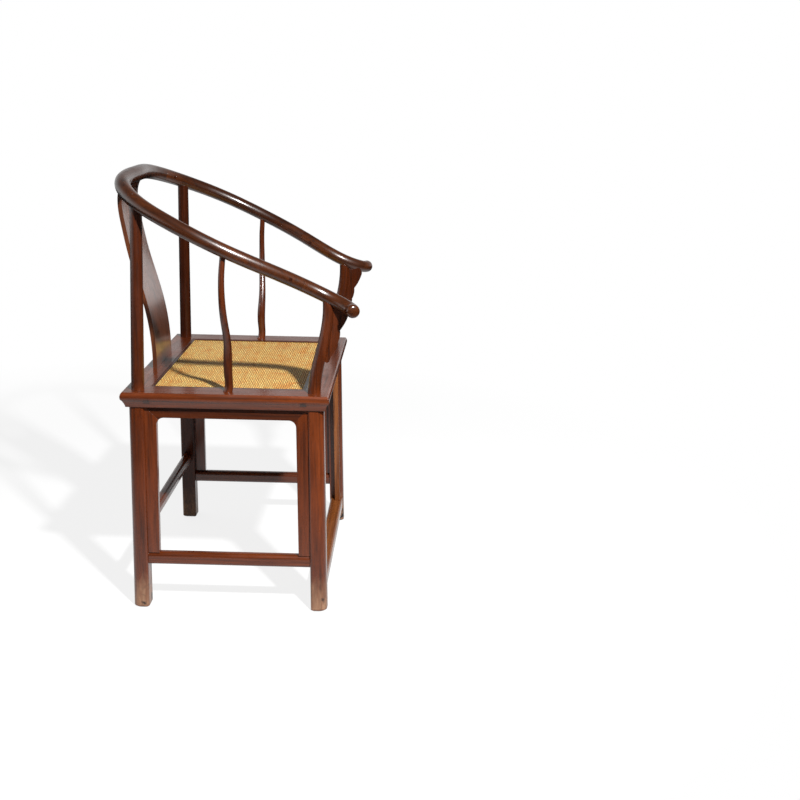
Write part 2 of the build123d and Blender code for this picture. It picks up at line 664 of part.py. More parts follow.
# ---------------------------------------------------------------- build: seat webbing, mat, edging, braces
strands = None
for axis_half, cross_half, low_z in ((OPENING_X, OPENING_Y, WEB_BOTTOM_Z), (OPENING_Y, OPENING_X, None)):
    along_x = low_z is not None
    count = int((cross_half - STRAND_WIDTH) / STRAND_PITCH)
    for index in range(-count, count + 1):
        offset = index * STRAND_PITCH
        length = 2 * (axis_half - 1.0)
        if along_x:
            strand = Pos(0, offset, WEB_BOTTOM_Z + STRAND_THICKNESS / 2) * Box(length, STRAND_WIDTH, STRAND_THICKNESS)
        else:
            strand = Pos(offset, 0, WEB_BOTTOM_Z + 1.5 * STRAND_THICKNESS) * Box(STRAND_WIDTH, length, STRAND_THICKNESS)
        strands = strand if strands is None else strands + strand

mat = box_between(
    (-OPENING_X + 0.3, -OPENING_Y + 0.3, MAT_BOTTOM_Z), (OPENING_X - 0.3, OPENING_Y - 0.3, MAT_TOP_Z)
)


def edging_strip(half_length, half_across, towards):
    """Thin mitred strip that holds one edge of the mat, along X."""
    plan = make_face(Polyline(
        (-half_length, towards * half_across),
        (half_length, towards * half_across),
        (half_length - EDGING_WIDTH, towards * (half_across - EDGING_WIDTH)),
        (-half_length + EDGING_WIDTH, towards * (half_across - EDGING_WIDTH)),
        close=True,
    ))
    height = MAT_RECESS - EDGING_REVEAL
    return extrude(Pos(0, 0, MAT_TOP_Z) * plan, amount=height)


edging_x = OPENING_X - GLUE_GAP
edging_y = OPENING_Y - GLUE_GAP
brace_top = WEB_BOTTOM_Z - 3.0
brace_side = [
    Line((-LEDGE_Y, brace_top), (-LEDGE_Y, brace_top - BRACE_HEIGHT)),
    ThreePointArc(
        (-LEDGE_Y, brace_top - BRACE_HEIGHT),
        (0, brace_top - BRACE_HEIGHT - BRACE_BOW),
        (LEDGE_Y, brace_top - BRACE_HEIGHT),
    ),
    Line((LEDGE_Y, brace_top - BRACE_HEIGHT), (LEDGE_Y, brace_top)),
    ThreePointArc((LEDGE_Y, brace_top), (0, brace_top - BRACE_BOW), (-LEDGE_Y, brace_top)),
]


def brace_tenons(growth=0.0):
    """Both tenons of the left brace, as one bar through the frame's opening."""
    half = LEDGE_Y + TENON_DEPTH + growth
    return Pos(BRACE_X, 0, brace_top - BRACE_HEIGHT / 2) * Box(18.0 + 2 * growth, 2 * half, 8.0 + 2 * growth)


brace = extrude(Plane(origin=(BRACE_X, 0, 0), x_dir=(0, 1, 0), z_dir=(1, 0, 0)) * make_face(brace_side),
                amount=BRACE_WIDTH / 2, both=True)
brace += brace_tenons() - box_between((-FAR, -LEDGE_Y + 2, 0), (FAR, LEDGE_Y - 2, FAR))
for name in frame_members:
    frame_members[name] -= both_sides(brace_tenons(GLUE_GAP))

# ---------------------------------------------------------------- build: stretchers and footrest
legs_left = lower_leg(1) + lower_leg(-1)
legs_rear = both_sides(lower_leg(1))
legs_front = both_sides(lower_leg(-1))

side_x = leg_x(SIDE_STRETCHER_Z)
side_bar = rounded_bar_y(
    leg_y(SIDE_STRETCHER_Z), side_x, SIDE_STRETCHER_Z, STRETCHER_WIDTH, SIDE_STRETCHER_HEIGHT, STRETCHER_ROUNDING
)
side_stretcher = fitted_between(side_bar, legs_left) + tenon_y(side_x, SIDE_STRETCHER_Z)

back_y = leg_y(BACK_STRETCHER_Z)
back_bar = rounded_bar_x(
    leg_x(BACK_STRETCHER_Z), back_y, BACK_STRETCHER_Z, STRETCHER_WIDTH, BACK_STRETCHER_HEIGHT, STRETCHER_ROUNDING
)
back_stretcher = fitted_between(back_bar, legs_rear) + tenon_x(back_y, BACK_STRETCHER_Z)

footrest_z = FOOTREST_TOP_Z - FOOTREST_HEIGHT / 2
footrest_y = -leg_y(footrest_z)
footrest_bar = rounded_bar_x(
    leg_x(footrest_z), footrest_y, footrest_z, FOOTREST_WIDTH, FOOTREST_HEIGHT, FOOTREST_ROUNDING
)
footrest = fitted_between(footrest_bar, legs_front) + tenon_x(footrest_y, footrest_z)

footrest_foot_z = FOOTREST_TOP_Z - FOOTREST_HEIGHT
low_z = footrest_foot_z - FOOTREST_APRON_DROP
relief_z = low_z + FOOTREST_APRON_RELIEF
bracket_x = leg_x(low_z) - leg_half(low_z) - FOOTREST_BRACKET_LENGTH
ease = 2 * FOOTREST_APRON_RELIEF
reach_x = leg_x(low_z)
apron_outline = make_face([
    Polyline((-reach_x, low_z), (-reach_x, footrest_foot_z), (reach_x, footrest_foot_z), (reach_x, low_z),
             (bracket_x, low_z)),
    TangentArc((bracket_x, low_z), (bracket_x - ease, relief_z), tangent=(-1, 0)),
    Line((bracket_x - ease, relief_z), (-bracket_x + ease, relief_z)),
    TangentArc((-bracket_x, low_z), (-bracket_x + ease, relief_z), tangent=(1, 0)),
    Line((-bracket_x, low_z), (-reach_x, low_z)),
])
apron_plane = Plane(origin=(0, footrest_y, 0), x_dir=(1, 0, 0), z_dir=(0, -1, 0))
footrest_apron = fitted_between(
    extrude(apron_plane * apron_outline, amount=FOOTREST_APRON_THICKNESS / 2, both=True), legs_front
)

# ---------------------------------------------------------------- build: aprons, strips, spandrels
lean_x = FOOT_SPREAD_X / SHOULDER_Z
lean_y = FOOT_SPREAD_Y / SHOULDER_Z
board_out = LEG_TOP_SIZE / 2 - APRON_SETBACK - APRON_THICKNESS / 2
side_place = Plane(
    origin=(leg_x(0) + board_out, 0, 0), x_dir=(0, 1, 0), z_dir=(1, 0, lean_x)
)
front_place = Plane(
    origin=(0, -leg_y(0) - board_out, 0), x_dir=(1, 0, 0), z_dir=(0, -1, lean_y)
)
back_place = Plane(
    origin=(0, leg_y(0) + board_out, 0), x_dir=(-1, 0, 0), z_dir=(0, 1, lean_y)
)
side_foot_z = SIDE_STRETCHER_Z + SIDE_STRETCHER_HEIGHT / 2
back_foot_z = SHOULDER_Z - BACK_SPANDREL_LENGTH
side_top_half = LEG_TOP_Y - leg_half(SHOULDER_Z)
front_top_half = LEG_TOP_X - leg_half(SHOULDER_Z)
side_foot_half = leg_y(side_foot_z) - leg_half(side_foot_z)
front_foot_half = leg_x(FOOTREST_TOP_Z) - leg_half(FOOTREST_TOP_Z)
back_foot_half = leg_x(back_foot_z) - leg_half(back_foot_z)

side_bay = (side_place, side_top_half, side_foot_half, side_foot_z, lean_x)
front_bay = (front_place, front_top_half, front_foot_half, FOOTREST_TOP_Z, lean_y)
back_bay = (back_place, front_top_half, back_foot_half, back_foot_z, lean_y)

side_boards = bay_boards(*side_bay)
side_apron, side_strip_front, side_strip_rear = split_bay(side_boards, side_place, side_top_half, lean_x)
front_boards = bay_boards(*front_bay)
front_apron, front_strip_right, front_strip_left = split_bay(front_boards, front_place, front_top_half, lean_y)
back_boards = bay_boards(*back_bay)
back_apron, back_spandrel_left, back_spandrel_right = split_bay(back_boards, back_place, front_top_half, lean_y)


def rounded_spandrel_foot(spandrel):
    """Rounds the free lower corner of a back spandrel."""
    lowest = spandrel.edges().filter_by(Axis.Y, tolerance=2.0).group_by(Axis.Z)[0]
    return fillet(lowest.sort_by(lambda edge: abs(edge.center().X))[0], BACK_SPANDREL_RADIUS)


grooves = {
    "side": bay_boards(*side_bay, growth=GLUE_GAP),
    "front": bay_boards(*front_bay, growth=GLUE_GAP),
    "back": bay_boards(*back_bay, growth=GLUE_GAP),
}
rear_leg -= grooves["side"]
rear_leg -= grooves["back"]
rear_leg -= tenon_y(side_x, SIDE_STRETCHER_Z, GLUE_GAP)
rear_leg -= tenon_x(back_y, BACK_STRETCHER_Z, GLUE_GAP)
front_leg -= grooves["side"]
front_leg -= grooves["front"]
front_leg -= tenon_y(side_x, SIDE_STRETCHER_Z, GLUE_GAP)
front_leg -= tenon_x(footrest_y, footrest_z, GLUE_GAP)
side_member -= grooves["side"]
frame_members["front"] -= grooves["front"]
frame_members["back"] -= grooves["back"]

# ---------------------------------------------------------------- build: post spandrels
spandrel_y = FRONT_POST_TOP[1]
spandrel_z = FRONT_POST_TOP[2] - SPANDREL_HEAD_DROP
spandrel_edge = [(spandrel_y - forward, spandrel_z - down) for forward, down in SPANDREL_EDGE]
spandrel_curves = [
    ThreePointArc(*spandrel_edge[first:first + 3]) for first in range(0, len(spandrel_edge) - 2, 2)
]
spandrel_curves.append(Polyline(
    spandrel_edge[-1],
    (spandrel_y + SPANDREL_HOUSING, spandrel_edge[-1][1] + SPANDREL_HOUSING),
    (spandrel_y + SPANDREL_HOUSING, spandrel_z),
    spandrel_edge[0],
))
spandrel_outline = make_face(spandrel_curves)
spandrel_lean = FRONT_POST_LEAN_X / (FRONT_POST_TOP[2] - SHOULDER_Z)
spandrel_place = Plane(
    origin=(FRONT_POST_FOOT[0] + spandrel_lean * SHOULDER_Z, 0, 0), x_dir=(0, 1, 0), z_dir=(1, 0, spandrel_lean)
)
spandrel_blank = extrude(spandrel_place * spandrel_outline, amount=SPANDREL_THICKNESS / 2, both=True)
post_spandrel = main_solid(spandrel_blank - front_post() - rail_blank)

# ---------------------------------------------------------------- nodes
LEFT_AND_RIGHT = {
    "crest_rail_{}_shoulder": rail_shoulder,
    "crest_rail_{}_hand": rail_hand,
    "rear_leg_{}": rear_leg,
    "front_leg_{}": front_leg,
    "side_post_{}": side_post,
    "post_spandrel_{}": post_spandrel,
    "seat_frame_{}": side_member,
    "seat_brace_{}": brace,
    "side_stretcher_{}": side_stretcher,
    "side_apron_{}": side_apron,
    "side_strip_{}_front": side_strip_front,
    "side_strip_{}_rear": side_strip_rear,
    "mat_edging_{}": Rot(0, 0, -90) * edging_strip(edging_y, edging_x, 1),
}
NODES = {
    "crest_rail_centre": rail_centre,
    "crest_rail_pins": both_sides(pins_left),
    "back_splat": splat,
    "seat_frame_front": frame_members["front"],
    "seat_frame_back": frame_members["back"],
    "seat_webbing": strands,
    "woven_mat": mat,
    "mat_edging_front": edging_strip(edging_x, edging_y, -1),
    "mat_edging_back": edging_strip(edging_x, edging_y, 1),
    "front_apron": front_apron,
    "front_strip_left": front_strip_left,
    "front_strip_right": front_strip_right,
    "back_apron": back_apron,
    "back_spandrel_left": rounded_spandrel_foot(back_spandrel_left),
    "back_spandrel_right": rounded_spandrel_foot(back_spandrel_right),
    "back_stretcher": back_stretcher,
    "footrest": footrest,
    "footrest_apron": footrest_apron,
}
for pattern, shape in LEFT_AND_RIGHT.items():
    NODES[pattern.format("left")] = shape
    NODES[pattern.format("right")] = mirror(shape, about=Plane.YZ)

boxes = [shape.bounding_box() for shape in NODES.values()]
middle_y = (min(box.min.Y for box in boxes) + max(box.max.Y for box in boxes)) / 2
for name, shape in NODES.items():
    export_step(Pos(0, -middle_y, 0) * shape, f"parts/{name}.step")
print(len(NODES), "nodes written, seat's middle at Y", round(-middle_y, 3))
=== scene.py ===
"""Dresses the horseshoe-back armchair: oiled hardwood, woven rush mat, cord webbing, pale studio."""
import logging
import math
import random
from dataclasses import dataclass, field
from enum import Enum
import bpy
from mathutils import Matrix, Vector


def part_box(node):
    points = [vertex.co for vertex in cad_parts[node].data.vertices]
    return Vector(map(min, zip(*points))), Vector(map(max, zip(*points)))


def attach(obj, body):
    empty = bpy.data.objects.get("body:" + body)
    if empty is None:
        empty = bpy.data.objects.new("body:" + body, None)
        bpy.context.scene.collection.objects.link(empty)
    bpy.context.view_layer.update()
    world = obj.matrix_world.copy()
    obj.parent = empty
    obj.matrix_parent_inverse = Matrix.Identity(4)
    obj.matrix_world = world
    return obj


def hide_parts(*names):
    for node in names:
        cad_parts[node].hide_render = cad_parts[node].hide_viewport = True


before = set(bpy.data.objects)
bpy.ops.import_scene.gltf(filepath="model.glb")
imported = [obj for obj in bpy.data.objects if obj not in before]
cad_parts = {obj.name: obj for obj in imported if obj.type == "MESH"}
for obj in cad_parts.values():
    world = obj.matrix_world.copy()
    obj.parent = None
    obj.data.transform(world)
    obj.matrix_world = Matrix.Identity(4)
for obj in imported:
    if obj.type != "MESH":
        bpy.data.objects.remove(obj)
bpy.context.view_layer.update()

log = logging.getLogger("armchair")

Colour = tuple[float, float, float, float]
Triple = tuple[float, float, float]


def shade(red: float, green: float, blue: float) -> Colour:
    """Turns an everyday 0 to 255 colour into the linear colour that the shaders take.

    Args:
        red: the colour's red part.
        green: the colour's green part.
        blue: the colour's blue part.

    Returns:
        The linear colour, fully opaque.
    """
    linear = []
    for part in (red, green, blue):
        share = part / 255.0
        linear.append(share / 12.92 if share <= 0.04045 else ((share + 0.055) / 1.055) ** 2.4)
    return (linear[0], linear[1], linear[2], 1.0)


class Grain(Enum):
    """Which way the fibres run in a stick, as a direction in the chair's own axes."""

    ACROSS = (1.0, 0.0, 0.0)
    FORE_AND_AFT = (0.0, 1.0, 0.0)
    UPRIGHT = (0.0, 0.0, 1.0)
    LEFT_SHOULDER = (0.18, -0.86, -0.42)
    RIGHT_SHOULDER = (-0.18, -0.86, -0.42)
    LEFT_HAND = (0.25, -0.9, -0.33)
    RIGHT_HAND = (-0.25, -0.9, -0.33)


# ---------------------------------------------------------------- node helpers
def new_group(name: str, inputs: dict[str, tuple[str, object]],
              outputs: dict[str, str]) -> bpy.types.NodeTree:
    """Makes an empty shader node group with named sockets.

    Args:
        name: the group's name.
        inputs: socket name to its type and its starting value, or None where each user sets it.
        outputs: socket name to its type.

    Returns:
        The node group, with its two end nodes in place.
    """
    tree = bpy.data.node_groups.new(name, "ShaderNodeTree")
    for label, (kind, start) in inputs.items():
        socket = tree.interface.new_socket(name=label, in_out="INPUT", socket_type=kind)
        if start is not None:
            socket.default_value = start
    for label, kind in outputs.items():
        tree.interface.new_socket(name=label, in_out="OUTPUT", socket_type=kind)
    tree.nodes.new("NodeGroupInput").name = "In"
    tree.nodes.new("NodeGroupOutput").name = "Out"
    return tree


def add(tree: bpy.types.NodeTree, kind: str, **settings: object) -> bpy.types.Node:
    """Adds a node of a kind and gives it its settings.

    Args:
        tree: the node tree that it goes in.
        kind: Blender's name for the node.
        settings: attributes to set on it.

    Returns:
        The new node.
    """
    node = tree.nodes.new(kind)
    for label, value in settings.items():
        setattr(node, label, value)
    return node


def join(tree: bpy.types.NodeTree, source: bpy.types.NodeSocket, target: bpy.types.NodeSocket) -> None:
    """Links one socket to another."""
    tree.links.new(source, target)


def calculate(tree: bpy.types.NodeTree, operation: str, *values: object) -> bpy.types.NodeSocket:
    """Adds a math node whose inputs are sockets or plain numbers.

    Args:
        tree: the node tree that it goes in.
        operation: the math node's operation.
        values: its inputs, in order.

    Returns:
        The result's socket.
    """
    node = add(tree, "ShaderNodeMath", operation=operation)
    for index, value in enumerate(values):
        if isinstance(value, bpy.types.NodeSocket):
            join(tree, value, node.inputs[index])
        else:
            node.inputs[index].default_value = value
    return node.outputs[0]


def blend_colours(tree: bpy.types.NodeTree, share: object, first: object, second: object,
                  how: str = "MIX") -> bpy.types.NodeSocket:
    """Adds a colour mix whose inputs are sockets or plain values.

    Args:
        tree: the node tree that it goes in.
        share: how much of the second colour.
        first: the colour at share 0.
        second: the colour at share 1.
        how: the mix node's blend type.

    Returns:
        The mixed colour's socket.
    """
    node = add(tree, "ShaderNodeMix", data_type="RGBA", blend_type=how)
    for socket, value in zip((node.inputs[0], node.inputs[6], node.inputs[7]), (share, first, second)):
        if isinstance(value, bpy.types.NodeSocket):
            join(tree, value, socket)
        else:
            socket.default_value = value
    return node.outputs[2]


def stretched_noise(tree: bpy.types.NodeTree, place: bpy.types.NodeSocket, stretch: Triple, detail: float,
                    warp: float = 0.0) -> bpy.types.NodeSocket:
    """Noise drawn out by a different amount along each axis.

    Args:
        tree: the node tree that it goes in.
        place: the position it is read at.
        stretch: repeats per metre along each axis.
        detail: how many finer layers it has.
        warp: how far it is pulled about.

    Returns:
        The noise value's socket, from 0 to 1.
    """
    mapping = add(tree, "ShaderNodeMapping")
    mapping.inputs["Scale"].default_value = stretch
    join(tree, place, mapping.inputs["Vector"])
    noise = add(tree, "ShaderNodeTexNoise")
    noise.inputs["Scale"].default_value = 1.0
    noise.inputs["Detail"].default_value = detail
    noise.inputs["Distortion"].default_value = warp
    join(tree, mapping.outputs[0], noise.inputs["Vector"])
    return noise.outputs["Fac"]


def ramp(tree: bpy.types.NodeTree, value: bpy.types.NodeSocket, low: float,
         high: float) -> bpy.types.NodeSocket:
    """Stretches the stretch of values between low and high to 0 to 1, and holds the rest.

    Args:
        tree: the node tree that it goes in.
        value: the value to stretch.
        low: the value that becomes 0.
        high: the value that becomes 1.

    Returns:
        The stretched value's socket.
    """
    node = add(tree, "ShaderNodeMapRange")
    node.inputs["From Min"].default_value = low
    node.inputs["From Max"].default_value = high
    join(tree, value, node.inputs["Value"])
    return node.outputs["Result"]


@dataclass(frozen=True)
class Layer:
    """A layer of noise, with its repeats per metre along each axis, and the stretch of values that shows."""

    repeats: Triple
    detail: float
    low: float
    high: float
    warp: float = 0.0

    def drawn(self, tree: bpy.types.NodeTree, place: bpy.types.NodeSocket) -> bpy.types.NodeSocket:
        """Adds the layer's nodes, read at a place, and gives the socket of its share."""
        noise = stretched_noise(tree, place, self.repeats, self.detail, self.warp)
        return ramp(tree, noise, self.low, self.high)


# ---------------------------------------------------------------- shared effects
BROAD_BANDS = Layer((26.0, 26.0, 2.4), 3.0, 0.32, 0.68, warp=0.6)
DARK_STREAKS = Layer((190.0, 190.0, 5.0), 4.0, 0.46, 0.72, warp=0.3)
FINE_THREADS = Layer((620.0, 620.0, 11.0), 2.0, 0.38, 0.66)
OPEN_PORES = Layer((1500.0, 1500.0, 55.0), 1.0, 0.60, 0.72)
THREAD_DARKENING = 0.28
THREAD_DEPTH = 0.22
STREAK_DULLING = 0.5

RUBBED_PATCHES = Layer((120.0, 120.0, 26.0), 4.0, 0.3, 0.62, warp=0.5)
BRUISES = Layer((55.0, 55.0, 40.0), 2.0, 0.58, 0.68, warp=0.4)
WEAR_EDGE_REPEATS = (70.0, 70.0, 30.0)
LEAST_RUBBED = 0.35              # share of the rubbing that is there between the patches
WEAR_FADES_FROM, WEAR_FADES_TO = -0.3, 1.7     # in shares of the reach above the floor
UNWORN_FLOOR_LINE = (0.001, 0.007)       # no pale wear in the lowest millimetres, so the foot stays darker right at the floor
BRUISED_BELOW = (0.07, 0.02)     # no bruises over the first height, all of them under the second

TENON_EDGE_REPEATS = (300.0, 300.0, 300.0)
TENON_RAGGEDNESS = 0.4
TENON_FADE = (1.4, 1.0)          # in shares of the tenon's half size

CLOUD_DETAIL = 4.0
CLOUD_ROUGHNESS = 0.62
CLOUD_EDGE = (0.34, 0.66)


def make_hardwood_figure() -> bpy.types.NodeTree:
    """Builds the wood figure group: dark streaks, broad colour bands and open pores along local Z.

    Returns:
        The node group, with outputs Colour, Gloss and Relief.
    """
    tree = new_group(
        "Hardwood figure",
        {
            "Place": ("NodeSocketVector", None),
            "Heart": ("NodeSocketColor", None),
            "Streak": ("NodeSocketColor", None),
            "Glow": ("NodeSocketColor", None),
            "Streak Amount": ("NodeSocketFloat", None),
            "Pore Amount": ("NodeSocketFloat", None),
        },
        {"Colour": "NodeSocketColor", "Gloss": "NodeSocketFloat", "Relief": "NodeSocketFloat"},
    )
    source, out = tree.nodes["In"], tree.nodes["Out"]
    place = source.outputs["Place"]
    bands = BROAD_BANDS.drawn(tree, place)
    streaks = DARK_STREAKS.drawn(tree, place)
    threads = FINE_THREADS.drawn(tree, place)
    pores = OPEN_PORES.drawn(tree, place)
    base = blend_colours(tree, bands, source.outputs["Heart"], source.outputs["Glow"])
    darkened = calculate(tree, "MULTIPLY", threads, THREAD_DARKENING)
    fine = blend_colours(tree, darkened, base, source.outputs["Streak"])
    streaky = calculate(tree, "MULTIPLY", streaks, source.outputs["Streak Amount"])
    streaked = blend_colours(tree, streaky, fine, source.outputs["Streak"])
    pitted = calculate(tree, "MULTIPLY", pores, source.outputs["Pore Amount"])
    join(tree, blend_colours(tree, pitted, streaked, source.outputs["Streak"]), out.inputs["Colour"])
    dulled = calculate(tree, "MULTIPLY", streaks, STREAK_DULLING)
    join(tree, calculate(tree, "ADD", dulled, pitted), out.inputs["Gloss"])
    relief = calculate(tree, "ADD", pitted, calculate(tree, "MULTIPLY", threads, THREAD_DEPTH))
    join(tree, calculate(tree, "SUBTRACT", 1.0, relief), out.inputs["Relief"])
    return tree


def make_foot_wear() -> bpy.types.NodeTree:
    """Builds the floor-wear group: rubbed patches that thicken towards the floor, and dark bruises.

    Returns:
        The node group, with outputs Mask and Bruise.
    """
    tree = new_group(
        "Foot wear",
        {
            "Place": ("NodeSocketVector", None),
            "Reach": ("NodeSocketFloat", 0.05),
            "Raggedness": ("NodeSocketFloat", 0.07),
        },
        {"Mask": "NodeSocketFloat", "Bruise": "NodeSocketFloat"},
    )
    source, out = tree.nodes["In"], tree.nodes["Out"]
    place = source.outputs["Place"]
    axes = add(tree, "ShaderNodeSeparateXYZ")
    join(tree, place, axes.inputs[0])
    ragged = calculate(tree, "SUBTRACT", stretched_noise(tree, place, WEAR_EDGE_REPEATS, 4.0, 0.8), 0.5)
    ragged = calculate(tree, "MULTIPLY", ragged, source.outputs["Raggedness"])
    height = calculate(tree, "ADD", axes.outputs["Z"], ragged)
    share = calculate(tree, "DIVIDE", height, source.outputs["Reach"])
    patches = calculate(tree, "MULTIPLY", RUBBED_PATCHES.drawn(tree, place), 1.0 - LEAST_RUBBED)
    patches = calculate(tree, "ADD", patches, LEAST_RUBBED)
    above_floor_line = ramp(tree, axes.outputs["Z"], *UNWORN_FLOOR_LINE)
    worn = calculate(tree, "MULTIPLY", ramp(tree, share, WEAR_FADES_TO, WEAR_FADES_FROM), patches)
    join(tree, calculate(tree, "MULTIPLY", worn, above_floor_line), out.inputs["Mask"])
    near_floor = ramp(tree, axes.outputs["Z"], *BRUISED_BELOW)
    bruises = calculate(tree, "MULTIPLY", BRUISES.drawn(tree, place), near_floor)
    join(tree, bruises, out.inputs["Bruise"])
    return tree


def make_handling() -> bpy.types.NodeTree:
    """Builds the handling group: cloudy patches where the finish is rubbed brighter or duller.

    Returns:
        The node group, with output Mask.
    """
    tree = new_group(
        "Handling",
        {"Place": ("NodeSocketVector", None), "Patch Size": ("NodeSocketFloat", 0.09)},
        {"Mask": "NodeSocketFloat"},
    )
    source, out = tree.nodes["In"], tree.nodes["Out"]
    per_metre = calculate(tree, "DIVIDE", 1.0, source.outputs["Patch Size"])
    noise = add(tree, "ShaderNodeTexNoise")
    noise.inputs["Detail"].default_value = CLOUD_DETAIL
    noise.inputs["Roughness"].default_value = CLOUD_ROUGHNESS
    join(tree, source.outputs["Place"], noise.inputs["Vector"])
    join(tree, per_metre, noise.inputs["Scale"])
    join(tree, ramp(tree, noise.outputs["Fac"], *CLOUD_EDGE), out.inputs["Mask"])
    return tree


def make_tenon_end() -> bpy.types.NodeTree:
    """Builds the tenon group: a mask over the end grain of the seat frame's through tenons.

    Returns:
        The node group, with output Mask.
    """
    tree = new_group(
        "Tenon end",
        {
            "Place": ("NodeSocketVector", None),
            "Out From": ("NodeSocketFloat", 0.262),
            "Along": ("NodeSocketFloat", 0.1675),
            "Middle Y": ("NodeSocketFloat", 0.0128),
            "Height": ("NodeSocketFloat", 0.4803),
            "Half Length": ("NodeSocketFloat", 0.0070),
            "Half Height": ("NodeSocketFloat", 0.0055),
        },
        {"Mask": "NodeSocketFloat"},
    )
    source, out = tree.nodes["In"], tree.nodes["Out"]
    axes = add(tree, "ShaderNodeSeparateXYZ")
    join(tree, source.outputs["Place"], axes.inputs[0])

    def off(value: bpy.types.NodeSocket, centre: str) -> bpy.types.NodeSocket:
        """How far a value lies from one of the group's own inputs, either way."""
        return calculate(tree, "ABSOLUTE", calculate(tree, "SUBTRACT", value, source.outputs[centre]))

    sideways = off(off(axes.outputs["Y"], "Middle Y"), "Along")
    wide = calculate(tree, "DIVIDE", sideways, source.outputs["Half Length"])
    tall = calculate(tree, "DIVIDE", off(axes.outputs["Z"], "Height"), source.outputs["Half Height"])
    ragged = stretched_noise(tree, source.outputs["Place"], TENON_EDGE_REPEATS, 2.0)
    ragged = calculate(tree, "MULTIPLY", ragged, TENON_RAGGEDNESS)
    reach = calculate(tree, "ADD", calculate(tree, "MAXIMUM", wide, tall), ragged)
    across = calculate(tree, "ABSOLUTE", axes.outputs["X"])
    outside = calculate(tree, "GREATER_THAN", across, source.outputs["Out From"])
    mask = calculate(tree, "MULTIPLY", ramp(tree, reach, *TENON_FADE), outside)
    join(tree, mask, out.inputs["Mask"])
    return tree


@dataclass
class Effects:
    """The shader groups that several finishes share, built once."""

    figure: bpy.types.NodeTree = field(default_factory=make_hardwood_figure)
    foot_wear: bpy.types.NodeTree = field(default_factory=make_foot_wear)
    handling: bpy.types.NodeTree = field(default_factory=make_handling)
    tenon_end: bpy.types.NodeTree = field(default_factory=make_tenon_end)


